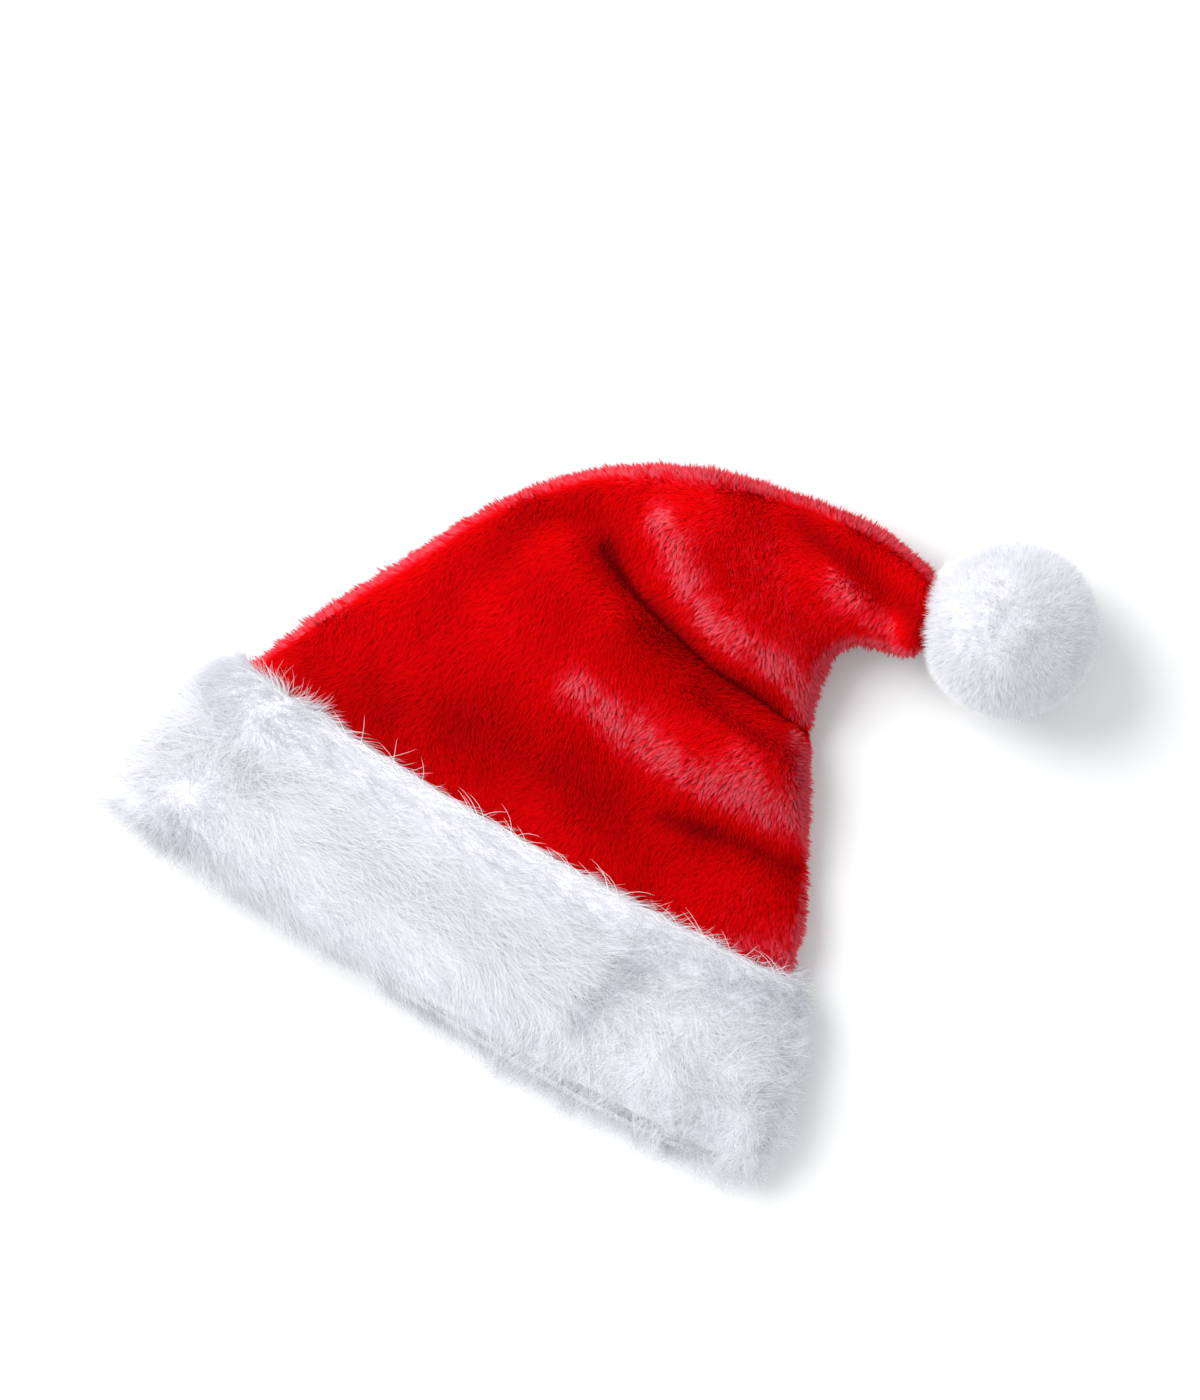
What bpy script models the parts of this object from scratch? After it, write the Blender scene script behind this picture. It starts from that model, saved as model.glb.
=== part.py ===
"""Plush santa hat, lying on its side as it is laid on a table: a soft hollow crown whose tip
is folded over to one side, a deep fur cuff round its opening and a pompom on the tip.

Frame: metres, +Z up, with z = 0 on the table. +X runs along the cuff, towards the side that
the tip falls to, and +Y runs from the cuff up the crown. The origin is on the crown's flat
underside, in the middle of the hat.
"""

import math
import random
from collections import namedtuple

import bmesh
import bpy
from mathutils import Matrix, Vector

# Driving dimensions, in metres
SEAM_WIDTH = 0.2575  # flat width of the crown at the cuff's seam, loose pile included
CROWN_RISE = 0.184  # from that seam to the highest point of the folded crown
SEAM_SETBACK = 0.064  # from the origin back to the seam
LOFT = 0.034  # height of the crown's upper layer where nothing presses it
PLUSH_WALL = 0.003  # backing cloth and the dense foot of its pile
PILE_TIPS = 0.0025  # loose pile that stands out of that wall
HEM_DEPTH = 0.012  # how far the crown's hem reaches down inside the cuff

MOUTH_WIDTH = 0.293  # flat width of the cuff's backing at its open edge
MOUTH_HEIGHT = 0.018  # height of the opening between the two layers, in the middle
CUFF_HEIGHT = 0.071  # from the seam to the open edge
CUFF_BOW = 0.005  # how far the middle of seam and open edge hang below their ends
UNDER_REACH = 0.009  # how far the under layer shows past the upper one, at one end
FUR_DEPTH = 0.011  # thick, matted foot of the cuff's fur over its backing
FUR_LOCK = 0.009  # length of the locks that stand out of it
SEAT_CLEARANCE = 0.0005  # between the crown's hem and the cuff round it

POMPOM_RADIUS = 0.0375  # out to the ends of its locks
POMPOM_LOCK = 0.0060
POMPOM_HEIGHT = 0.0355  # its centre above the table
POMPOM_ALONG = 0.522  # place of its centre, as shares of SEAM_WIDTH and CROWN_RISE
POMPOM_UP = 0.928
SOCKET_RADIUS = 0.0115  # the hollow that the crown's tip is sewn into
SOCKET_DEPTH = 0.0055
TIP_CLEARANCE = 0.0003  # between the tip's end and the bottom of that hollow
TIP_ANGLE = math.radians(19)  # the tip's direction, turned from +X towards +Y

# How finely the surfaces are divided
RING_SPACING = 0.0075  # between the crown's rings
OVER_STEPS = 30  # across the upper layer
UNDER_STEPS = 10  # across the under layer
OVER_EVENNESS = 0.4  # 1 spaces those steps evenly, 0 draws them towards the folded edges
UNDER_EVENNESS = 0.0
POMPOM_SIDES = 16
POMPOM_RINGS = 10

# One row for each section across the crown, from the seam to where the tip narrows. The left
# and right ends of a section are shares of SEAM_WIDTH across and of CROWN_RISE up, and its
# underside, folded edge and top are shares of LOFT.
Section = namedtuple("Section", "left_x left_y right_x right_y under edge over")
CROWN_SECTIONS = (
    Section(-0.497, 0.000, 0.503, 0.000, 0.19, 0.44, 0.76),
    Section(-0.428, 0.219, 0.478, 0.133, 0.00, 0.41, 0.93),
    Section(-0.358, 0.407, 0.431, 0.258, 0.00, 0.38, 0.98),
    Section(-0.297, 0.570, 0.384, 0.378, 0.00, 0.38, 1.00),
    Section(-0.229, 0.696, 0.341, 0.485, 0.00, 0.38, 1.00),
    Section(-0.151, 0.797, 0.325, 0.532, 0.00, 0.38, 0.98),
    Section(-0.056, 0.877, 0.310, 0.602, 0.00, 0.38, 0.95),
    Section(0.052, 0.928, 0.305, 0.680, 0.00, 0.40, 0.92),
    Section(0.167, 0.960, 0.328, 0.732, 0.06, 0.46, 0.94),
    Section(0.272, 0.974, 0.379, 0.758, 0.20, 0.60, 1.06),
)

# The tip's last sections: where it meets the ends of the pompom's locks, in shares of
# POMPOM_RADIUS, then at the socket's mouth and at its own end, in shares of SOCKET_RADIUS
TipSection = namedtuple("TipSection", "half_width half_height")
TIP_AT_LOCKS = TipSection(0.41, 0.30)
TIP_AT_SOCKET = TipSection(0.80, 0.59)
TIP_AT_END = TipSection(0.74, 0.46)

# Folds of the crown's upper layer. Each runs through its points, given as shares of
# SEAM_WIDTH across and of CROWN_RISE up. Its rise, at its first point and at its last, is a
# share of the cloth's height above the folded edge there, and is below zero in a crease. Its
# reach to each side is a share of CROWN_RISE.
Fold = namedtuple("Fold", "name first_rise last_rise reach points")
FOLDS = (
    Fold("main_crease", -0.25, -0.80, 0.052,
         ((-0.124, 0.668), (-0.068, 0.618), (0.004, 0.576), (0.103, 0.537), (0.204, 0.516),
          (0.330, 0.520))),
    Fold("upper_ridge", 0.20, 0.25, 0.085,
         ((-0.022, 0.758), (0.061, 0.690), (0.146, 0.668), (0.230, 0.645), (0.292, 0.626))),
    Fold("lower_ridge", 0.15, 0.30, 0.110,
         ((-0.088, 0.486), (0.003, 0.410), (0.101, 0.395), (0.209, 0.385), (0.365, 0.405))),
    Fold("long_hollow", -0.25, -0.45, 0.110,
         ((-0.421, 0.090), (-0.243, 0.105), (-0.111, 0.130), (0.019, 0.165), (0.153, 0.192),
          (0.289, 0.219), (0.440, 0.252))),
    Fold("rim_hollow", -0.15, -0.25, 0.065,
         ((-0.272, 0.466), (-0.239, 0.564), (-0.185, 0.655), (-0.138, 0.703))),
    Fold("tail_crease", -0.15, -0.55, 0.050,
         ((0.110, 0.890), (0.224, 0.880), (0.317, 0.870), (0.369, 0.850))),
    Fold("tail_ridge", 0.10, 0.15, 0.060,
         ((0.207, 0.790), (0.277, 0.810), (0.352, 0.808))),
)
FOLD_FLOOR = -0.88  # the deepest a crease may reach, as such a share
FOLDS_FROM_SEAM = 0.16  # how far up the crown the folds have their full rise
BOW_FADE = 0.30  # how far up the crown the bow of its seam dies away

# The cuff's cross-section, from the seam round the outside to the open edge and back along
# the backing: how far down the cuff each point lies, as a share of its height, and how far
# outside the backing, as a share of FUR_DEPTH.
ProfilePoint = namedtuple("ProfilePoint", "down out")
CUFF_OUTSIDE = (
    ProfilePoint(0.00, 0.00),
    ProfilePoint(-0.03, 0.45),
    ProfilePoint(0.03, 0.85),
    ProfilePoint(0.18, 1.00),
    ProfilePoint(0.34, 1.06),
    ProfilePoint(0.50, 1.08),
    ProfilePoint(0.66, 1.06),
    ProfilePoint(0.82, 1.00),
    ProfilePoint(0.97, 0.80),
    ProfilePoint(1.03, 0.35),
    ProfilePoint(1.00, 0.00),
)
CUFF_BACKING = (0.66, 0.33)  # shares of its height

SECTION_ROUNDNESS = 2.5  # 2 makes a section's ends elliptical, more makes them blunter
UNDER_FULLNESS = 1.9  # how much sooner the under layer lies flat than the upper one rises

LOCK_TAPER = 0.72  # width at a lock's shoulder, as a share of its foot
LOCK_SHOULDER = 0.50  # how far along the lock its shoulder is
LOCK_VARIATION = 0.25  # how much its length varies, and how far its end strays, as shares
LAID_FLAT = -0.75  # a face of the cuff whose normal has this z or less lies on the table

# The way the cuff's locks lean, as shares of how far they stand out
NAP_SIDEWAYS = 0.45
NAP_OVER_SEAM = 0.45
NAP_OFF_MOUTH = 0.60
NAP_TURN = 0.12  # share of the width, at the end away from the tip, where they turn outwards

RED_PLUSH = (0.58, 0.002, 0.006, 1.0)
WHITE_FUR = (0.86, 0.88, 0.93, 1.0)


def clear_scene():
    for obj in list(bpy.data.objects):
        bpy.data.objects.remove(obj, do_unlink=True)


def material(name, colour, roughness):
    made = bpy.data.materials.new(name)
    made.use_nodes = True
    shader = made.node_tree.nodes["Principled BSDF"]
    shader.inputs["Base Color"].default_value = colour
    shader.inputs["Roughness"].default_value = roughness
    shader.inputs["Metallic"].default_value = 0.0
    return made


def add_object(name, mesh, finish):
    """One named object from a bmesh, shaded smooth except at sharp corners."""
    data = bpy.data.meshes.new(name)
    mesh.to_mesh(data)
    mesh.free()
    data.materials.append(finish)
    data.shade_smooth()
    data.set_sharp_from_angle(angle=math.radians(55))
    made = bpy.data.objects.new(name, data)
    bpy.context.scene.collection.objects.link(made)
    return made


def blend(a, b, share):
    return a + (b - a) * share


def smooth_step(share):
    share = min(1.0, max(0.0, share))
    return share * share * (3 - 2 * share)


def through_rows(rows, at):
    """The section at a place 0..len - 1 along the table, on a smooth curve through its rows."""
    first = min(int(at), len(rows) - 2)
    share = at - first
    before, start = rows[max(first - 1, 0)], rows[first]
    end, after = rows[first + 1], rows[min(first + 2, len(rows) - 1)]
    found = []
    for a, b, c, d in zip(before, start, end, after):
        found.append(0.5 * (2 * b + (c - a) * share + (2 * a - 5 * b + 4 * c - d) * share**2
                            + (3 * b - a - 3 * c + d) * share**3))
    return Section(*found)


def spread(share, evenness):
    """A share across, drawn towards both ends unless evenness is 1."""
    return blend((1 - math.cos(math.pi * share)) / 2, share, evenness)


def loop_places():
    """Places round a section, from its left end over the top and back along the underside:
    the share across, and 1 on the upper layer or -1 on the under one."""
    over = [(spread(i / OVER_STEPS, OVER_EVENNESS), 1) for i in range(OVER_STEPS)]
    under = [(spread(1 - i / UNDER_STEPS, UNDER_EVENNESS), -1) for i in range(UNDER_STEPS)]
    return over + under


def rounding(across):
    """Height of the rounded profile of a section, 0 at its ends and 1 in the middle."""
    off_middle = abs(2 * across - 1)
    return max(0.0, 1 - off_middle**SECTION_ROUNDNESS) ** (1 / SECTION_ROUNDNESS)


def loop_point(section, place, raised=None):
    """A point of a section given in metres. raised tells how far the folds raise a spot."""
    across, layer = place
    spot = Vector((blend(section.left_x, section.right_x, across),
                   blend(section.left_y, section.right_y, across)))
    if layer < 0:
        fall = (section.edge - section.under) * min(1.0, UNDER_FULLNESS * rounding(across))
        return Vector((spot.x, spot.y, section.edge - fall))
    rise = (section.over - section.edge) * rounding(across)
    if raised:
        rise *= 1 + raised(spot)
    return Vector((spot.x, spot.y, section.edge + rise))


def bow_at(across):
    """How far the seam and the open edge sag between their ends."""
    return CUFF_BOW * 4 * across * (1 - across)


def base_section(drop, gap=0.0):
    """The flat tube that the crown's hem and the cuff's backing share, this far below the
    seam, and this much wider and higher all round."""
    down = drop / CUFF_HEIGHT
    seam = CROWN_SECTIONS[0]
    y = -SEAM_SETBACK - drop
    left = blend(SEAM_WIDTH * seam.left_x + PILE_TIPS, -MOUTH_WIDTH / 2, down)
    right = blend(SEAM_WIDTH * seam.right_x - PILE_TIPS, MOUTH_WIDTH / 2, down)
    under = LOFT * seam.under
    over = blend(LOFT * seam.over, under + MOUTH_HEIGHT, down)
    edge = blend(LOFT * seam.edge, (under + over) / 2, down)
    return Section(left - gap, y, right + gap, y, under - gap, edge, over + gap)


def pompom_centre():
    return Vector((SEAM_WIDTH * POMPOM_ALONG, CROWN_RISE * POMPOM_UP - SEAM_SETBACK,
                   POMPOM_HEIGHT))


def tip_direction():
    """From the crown's tip into the pompom."""
    return Vector((math.cos(TIP_ANGLE), math.sin(TIP_ANGLE), 0))


def core_radius():
    return POMPOM_RADIUS - POMPOM_LOCK


def socket_floor():
    """Distance from the pompom's centre to the bottom of its socket."""
    return core_radius() - SOCKET_DEPTH


def tip_rows():
    """The tip's last sections in metres, square to its direction, on the pompom's axis."""
    centre, ahead = pompom_centre(), tip_direction()
    sideways = Vector((-ahead.y, ahead.x, 0))
    stops = ((POMPOM_RADIUS, POMPOM_RADIUS, TIP_AT_LOCKS),
             (core_radius(), SOCKET_RADIUS, TIP_AT_SOCKET),
             (socket_floor() + TIP_CLEARANCE, SOCKET_RADIUS, TIP_AT_END))
    rows = []
    for distance, unit, tip in stops:
        middle = centre - ahead * distance
        left = middle + sideways * unit * tip.half_width
        right = middle - sideways * unit * tip.half_width
        rise = unit * tip.half_height
        rows.append(Section(left.x, left.y, right.x, right.y, middle.z - rise, middle.z,
                            middle.z + rise))
    return rows


def crown_rows():
    """Every section from the seam to the tip, in metres. The ends are drawn in by the pile,
    which stands out of the wall."""
    rows = []
    for row in CROWN_SECTIONS:
        left = Vector((SEAM_WIDTH * row.left_x, CROWN_RISE * row.left_y - SEAM_SETBACK))
        right = Vector((SEAM_WIDTH * row.right_x, CROWN_RISE * row.right_y - SEAM_SETBACK))
        inward = (right - left).normalized() * PILE_TIPS
        left, right = left + inward, right - inward
        rows.append(Section(left.x, left.y, right.x, right.y, LOFT * row.under,
                            LOFT * row.edge, LOFT * row.over))
    return rows + tip_rows()


def beside_path(points, spot):
    """Distance in plan from a spot to a path of straight pieces, and how far along the path
    its nearest point lies, 0 to 1."""
    whole = sum((b - a).length for a, b in zip(points, points[1:]))
    best, best_along, passed = math.inf, 0.0, 0.0
    for start, end in zip(points, points[1:]):
        step = end - start
        share = min(1.0, max(0.0, (spot - start).dot(step) / step.length_squared))
        away = (spot - start - step * share).length
        if away < best:
            best, best_along = away, (passed + share * step.length) / whole
        passed += step.length
    return best, best_along


def fold_rise(spot):
    """How far the folds raise the upper layer at a spot in plan, as a share of its height
    above the folded edge."""
    total = 0.0
    for fold in FOLDS:
        path = [Vector((SEAM_WIDTH * x, CROWN_RISE * y - SEAM_SETBACK)) for x, y in fold.points]
        away, along = beside_path(path, spot)
        away /= CROWN_RISE * fold.reach
        total += blend(fold.first_rise, fold.last_rise, along) * math.exp(-away * away)
    clear_of_seam = smooth_step((spot.y + SEAM_SETBACK) / (CROWN_RISE * FOLDS_FROM_SEAM))
    return max(FOLD_FLOOR, total) * clear_of_seam


def crown_stations(rows):
    """Places along the table of rows, about RING_SPACING apart in the hat."""
    places = []
    for i, (row, following) in enumerate(zip(rows, rows[1:])):
        onward = (Vector(following[:2]) + Vector(following[2:4]) - Vector(row[:2])
                  - Vector(row[2:4])) / 2
        steps = max(1, round(onward.length / RING_SPACING))
        places += [i + step / steps for step in range(steps)]
    return places + [len(rows) - 1]


def build_crown(finish):
    """The crown as a tube lofted through its sections, closed at the tip, with its wall
    inside. Its hem stays open for the head."""
    places = loop_places()
    rows = crown_rows()
    mesh = bmesh.new()
    loops = [[loop_point(base_section(HEM_DEPTH), place) for place in places]]
    for at in crown_stations(rows):
        section = through_rows(rows, at)
        section = section._replace(under=max(0.0, section.under))
        loops.append([loop_point(section, place, fold_rise) for place in places])
    bow_over = CROWN_RISE * BOW_FADE
    rings = []
    for loop in loops:
        for place, point in zip(places, loop):
            above = point.y + SEAM_SETBACK
            point.y -= bow_at(place[0]) * (1 - smooth_step(above / bow_over))
        rings.append([mesh.verts.new(point) for point in loop])
    bridge(mesh, rings)
    close_end(mesh, rings[-1])
    bmesh.ops.recalc_face_normals(mesh, faces=mesh.faces)
    crown = add_object("crown", mesh, finish)
    wall = crown.modifiers.new("wall", "SOLIDIFY")
    wall.thickness = PLUSH_WALL
    wall.offset = -1.0
    wall.use_rim = True
    return crown


def bridge(mesh, rings, closed=False):
    """Quads between neighbouring rings of vertices. Returns them ring by ring."""
    pairs = list(zip(rings, rings[1:]))
    if closed:
        pairs.append((rings[-1], rings[0]))
    bands = []
    for lower, upper in pairs:
        count = len(lower)
        bands.append([mesh.faces.new((lower[i], lower[(i + 1) % count],
                                      upper[(i + 1) % count], upper[i]))
                      for i in range(count)])
    return bands


def close_end(mesh, ring):
    """A fan over the last ring of a tube."""
    middle = sum((v.co for v in ring), Vector()) / len(ring)
    hub = mesh.verts.new(middle)
    for i, corner in enumerate(ring):
        mesh.faces.new((corner, ring[(i + 1) % len(ring)], hub))


def stray(chance, length):
    """A small change of direction for the end of a lock."""
    reach = length * LOCK_VARIATION
    return Vector([chance.uniform(-reach, reach) for _ in range(3)])


def grow_lock(mesh, face, lean):
    """Draws one face out along lean into a pointed lock, fused to what it grows from. A lock
    that would pass through the table is pressed flatter, so that it ends on it."""
    foot = face.calc_center_median()
    lean.z = max(lean.z, -foot.z)
    drawn = bmesh.ops.extrude_discrete_faces(mesh, faces=[face])["faces"][0]
    for v in drawn.verts:
        v.co = foot + (v.co - foot) * LOCK_TAPER + lean * LOCK_SHOULDER
        v.co.z = max(0.0, v.co.z)
    end = bmesh.ops.poke(mesh, faces=[drawn])["verts"][0]
    end.co = foot + lean


def drop_at(place, down):
    """Distance below the seam of a share of the cuff's height. The under layer reaches a
    little further than the upper one, more towards the side of the tip."""
    across, layer = place
    if layer > 0:
        return down * CUFF_HEIGHT
    return down * (CUFF_HEIGHT + UNDER_REACH * rounding(across) * smooth_step(across))


def cuff_ring(places, down, out):
    """One ring round the cuff, set out from the backing and laid on the table."""
    points = []
    for place in places:
        point = loop_point(base_section(drop_at(place, down), SEAT_CLEARANCE), place)
        point.y -= bow_at(place[0])
        points.append(point)
    found = []
    for i, point in enumerate(points):
        before, after = points[i - 1], points[(i + 1) % len(points)]
        along = Vector((after.x - before.x, after.z - before.z)).normalized()
        outward = Vector((-along.y, 0, along.x))
        moved = point + outward * FUR_DEPTH * out
        moved.z = max(0.0, moved.z)
        found.append(moved)
    return found


def nap(across, down):
    """The way the cuff's fur is brushed: towards the side of the tip, up over the seam at the
    one edge and off the open edge at the other, and outwards at the far end."""
    swept = NAP_SIDEWAYS * blend(-1, 1, smooth_step(across / NAP_TURN))
    return Vector((swept, blend(NAP_OVER_SEAM, -NAP_OFF_MOUTH, down), 0.0))


def build_cuff(finish):
    """The cuff as a band swept round the opening, with locks on all that the table doesn't
    press flat."""
    places = loop_places()
    mesh = bmesh.new()
    rings = [[mesh.verts.new(p) for p in cuff_ring(places, point.down, point.out)]
             for point in CUFF_OUTSIDE]
    rings += [[mesh.verts.new(p) for p in cuff_ring(places, down, 0.0)]
              for down in CUFF_BACKING]
    bands = bridge(mesh, rings, closed=True)
    bmesh.ops.recalc_face_normals(mesh, faces=mesh.faces)
    mesh.normal_update()
    furred = bands[1:len(CUFF_OUTSIDE) - 2]
    chance = random.Random(3)
    for row, band in enumerate(furred):
        for (across, _), face in zip(places, band):
            length = FUR_LOCK * chance.uniform(1 - LOCK_VARIATION, 1 + LOCK_VARIATION)
            off = stray(chance, length)
            if face.normal.z <= LAID_FLAT:
                continue
            lean = (face.normal + nap(across, row / (len(furred) - 1))).normalized()
            grow_lock(mesh, face, lean * length + off)
    return add_object("cuff", mesh, finish)


def pompom_profile():
    """Radius and height of the pompom's core about the tip's axis, from the middle of its
    socket, out over the lip and round to the far pole. Height is towards the crown."""
    radius = core_radius()
    lip = math.asin(SOCKET_RADIUS / radius)
    floor = min(socket_floor(), radius * math.cos(lip) - TIP_CLEARANCE)
    profile = [(0.0, floor), (SOCKET_RADIUS, floor)]
    for i in range(POMPOM_RINGS):
        polar = blend(lip, math.pi, i / POMPOM_RINGS)
        profile.append((radius * math.sin(polar), radius * math.cos(polar)))
    profile.append((0.0, -radius))
    return profile


def build_pompom(finish):
    """A round core with pointed locks all over it, open where the crown's tip is sewn in."""
    mesh = bmesh.new()
    profile = pompom_profile()
    rings = []
    for row, (radius, height) in enumerate(profile[1:-1]):
        turns = [2 * math.pi * (i + row / 2) / POMPOM_SIDES for i in range(POMPOM_SIDES)]
        rings.append([mesh.verts.new((radius * math.cos(turn), radius * math.sin(turn), height))
                      for turn in turns])
    bands = bridge(mesh, rings)
    for ring, (_, height) in ((rings[0], profile[0]), (rings[-1], profile[-1])):
        hub = mesh.verts.new((0, 0, height))
        for i, corner in enumerate(ring):
            mesh.faces.new((corner, ring[(i + 1) % POMPOM_SIDES], hub))
    bmesh.ops.recalc_face_normals(mesh, faces=mesh.faces)
    towards_crown = -tip_direction()
    turn = Vector((0, 0, 1)).rotation_difference(towards_crown).to_matrix().to_4x4()
    bmesh.ops.transform(mesh, matrix=Matrix.Translation(pompom_centre()) @ turn,
                        verts=mesh.verts)
    mesh.normal_update()
    chance = random.Random(8)
    for band in bands[1:]:
        for face in band:
            outward = (face.calc_center_median() - pompom_centre()).normalized()
            length = POMPOM_LOCK * chance.uniform(1 - LOCK_VARIATION, 1)
            grow_lock(mesh, face, outward * length + stray(chance, length))
    return add_object("pompom", mesh, finish)


def main():
    clear_scene()
    red = material("red_plush", RED_PLUSH, 0.75)
    white = material("white_fur", WHITE_FUR, 0.85)
    build_crown(red)
    build_cuff(white)
    build_pompom(white)


main()
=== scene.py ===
"""Looks of the plush santa hat: a crown with short red pile over its folds, a cuff of long
white fur and a dense white pompom. Each is a skin with its own hair growing on it.

Frame: metres, as in the CAD model. +X runs along the cuff towards the side that the tip falls
to, +Y runs up the crown, and z = 0 is the surface that the hat lies on.
"""

import math
from collections import namedtuple

import bmesh
import bpy
import numpy as np
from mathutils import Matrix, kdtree


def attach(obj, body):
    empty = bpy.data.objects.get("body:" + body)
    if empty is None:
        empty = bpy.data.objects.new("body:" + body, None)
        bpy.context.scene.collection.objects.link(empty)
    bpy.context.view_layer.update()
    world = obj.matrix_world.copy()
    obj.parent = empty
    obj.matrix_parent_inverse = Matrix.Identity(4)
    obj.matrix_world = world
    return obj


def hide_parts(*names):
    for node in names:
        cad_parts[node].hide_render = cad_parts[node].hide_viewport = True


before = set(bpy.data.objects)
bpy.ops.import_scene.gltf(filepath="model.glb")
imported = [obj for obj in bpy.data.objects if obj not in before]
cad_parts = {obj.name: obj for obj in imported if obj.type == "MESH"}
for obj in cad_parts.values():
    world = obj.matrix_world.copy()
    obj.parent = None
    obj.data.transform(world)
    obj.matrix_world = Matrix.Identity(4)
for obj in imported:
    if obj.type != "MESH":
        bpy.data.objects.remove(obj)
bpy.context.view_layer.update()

# Sizes of the CAD model, in metres
SEAM_WIDTH = 0.2575
CROWN_RISE = 0.184
SEAM_SETBACK = 0.064
LOFT = 0.034
PLUSH_WALL = 0.003
PILE_TIPS = 0.0025
HEM_DEPTH = 0.012
MOUTH_WIDTH = 0.293
MOUTH_HEIGHT = 0.018
CUFF_HEIGHT = 0.071
CUFF_BOW = 0.005
UNDER_REACH = 0.009
FUR_DEPTH = 0.011
SEAT_CLEARANCE = 0.0005
POMPOM_RADIUS = 0.0375
POMPOM_LOCK = 0.0060
POMPOM_HEIGHT = 0.0355
POMPOM_ALONG = 0.522  # shares of SEAM_WIDTH and CROWN_RISE
POMPOM_UP = 0.928
SOCKET_RADIUS = 0.0115
SOCKET_DEPTH = 0.0055
TIP_CLEARANCE = 0.0003
TIP_ANGLE = math.radians(19)
SECTION_ROUNDNESS = 2.5
UNDER_FULLNESS = 1.9

# One row for each section across the crown, as in the CAD model: its ends as shares of
# SEAM_WIDTH and CROWN_RISE, then its underside, folded edge and top as shares of LOFT
Section = namedtuple("Section", "left_x left_y right_x right_y under edge over")
CROWN_SECTIONS = (
    Section(-0.497, 0.000, 0.503, 0.000, 0.19, 0.44, 0.76),
    Section(-0.428, 0.219, 0.478, 0.133, 0.00, 0.41, 0.93),
    Section(-0.358, 0.407, 0.431, 0.258, 0.00, 0.38, 0.98),
    Section(-0.297, 0.570, 0.384, 0.378, 0.00, 0.38, 1.00),
    Section(-0.229, 0.696, 0.341, 0.485, 0.00, 0.38, 1.00),
    Section(-0.151, 0.797, 0.325, 0.532, 0.00, 0.38, 0.98),
    Section(-0.056, 0.877, 0.310, 0.602, 0.00, 0.38, 0.95),
    Section(0.052, 0.928, 0.305, 0.680, 0.00, 0.40, 0.92),
    Section(0.167, 0.960, 0.328, 0.732, 0.06, 0.46, 0.94),
    Section(0.272, 0.974, 0.379, 0.758, 0.20, 0.60, 1.06),
)
TipSection = namedtuple("TipSection", "half_width half_height")
TIP_AT_LOCKS = TipSection(0.41, 0.30)  # shares of POMPOM_RADIUS
TIP_AT_SOCKET = TipSection(0.80, 0.59)  # shares of SOCKET_RADIUS
TIP_AT_END = TipSection(0.74, 0.46)

# Folds of the upper layer, as in the CAD model, and the finer ones that only the looks have.
# Points are shares of SEAM_WIDTH and CROWN_RISE, the reach is a share of CROWN_RISE, and a
# rise is a share of the cloth's height above the folded edge.
Fold = namedtuple("Fold", "name first_rise last_rise reach points")
FOLDS = (
    Fold("main_crease", -0.25, -0.80, 0.052,
         ((-0.124, 0.668), (-0.068, 0.618), (0.004, 0.576), (0.103, 0.537), (0.204, 0.516),
          (0.330, 0.520))),
    Fold("upper_ridge", 0.20, 0.25, 0.085,
         ((-0.022, 0.758), (0.061, 0.690), (0.146, 0.668), (0.230, 0.645), (0.292, 0.626))),
    Fold("lower_ridge", 0.15, 0.30, 0.110,
         ((-0.088, 0.486), (0.003, 0.410), (0.101, 0.395), (0.209, 0.385), (0.365, 0.405))),
    Fold("long_hollow", -0.25, -0.45, 0.110,
         ((-0.421, 0.090), (-0.243, 0.105), (-0.111, 0.130), (0.019, 0.165), (0.153, 0.192),
          (0.289, 0.219), (0.440, 0.252))),
    Fold("rim_hollow", -0.15, -0.25, 0.065,
         ((-0.272, 0.466), (-0.239, 0.564), (-0.185, 0.655), (-0.138, 0.703))),
    Fold("tail_crease", -0.15, -0.55, 0.050,
         ((0.110, 0.890), (0.224, 0.880), (0.317, 0.870), (0.369, 0.850))),
    Fold("tail_ridge", 0.10, 0.15, 0.060,
         ((0.207, 0.790), (0.277, 0.810), (0.352, 0.808))),
    Fold("crease_line", -0.10, -0.50, 0.014,
         ((-0.091, 0.645), (0.016, 0.576), (0.086, 0.549), (0.148, 0.529), (0.207, 0.525),
          (0.331, 0.508))),
    Fold("hollow_pleat", 0.00, -0.30, 0.022,
         ((0.200, 0.195), (0.316, 0.226), (0.429, 0.243))),
)
FOLD_FLOOR = -0.88
FOLDS_FROM_SEAM = 0.16
BOW_FADE = 0.30

# The cuff's outside, from the seam to the open edge: shares of its height down, and of
# FUR_DEPTH out. The skin lies a little deeper than the CAD solid, and the fur fills the rest.
ProfilePoint = namedtuple("ProfilePoint", "down out")
CUFF_OUTSIDE = (
    ProfilePoint(0.00, 0.00),
    ProfilePoint(-0.03, 0.45),
    ProfilePoint(0.03, 0.85),
    ProfilePoint(0.18, 1.00),
    ProfilePoint(0.34, 1.06),
    ProfilePoint(0.50, 1.08),
    ProfilePoint(0.66, 1.06),
    ProfilePoint(0.82, 1.00),
    ProfilePoint(0.97, 0.80),
    ProfilePoint(1.03, 0.35),
    ProfilePoint(1.00, 0.00),
)
CUFF_BACKING = (0.10, 0.25, 0.40, 0.55, 0.70, 0.85)  # shares of its height down
CUFF_SKIN_DEPTH = 0.80  # depth of the skin, as a share of the CAD solid's

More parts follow.
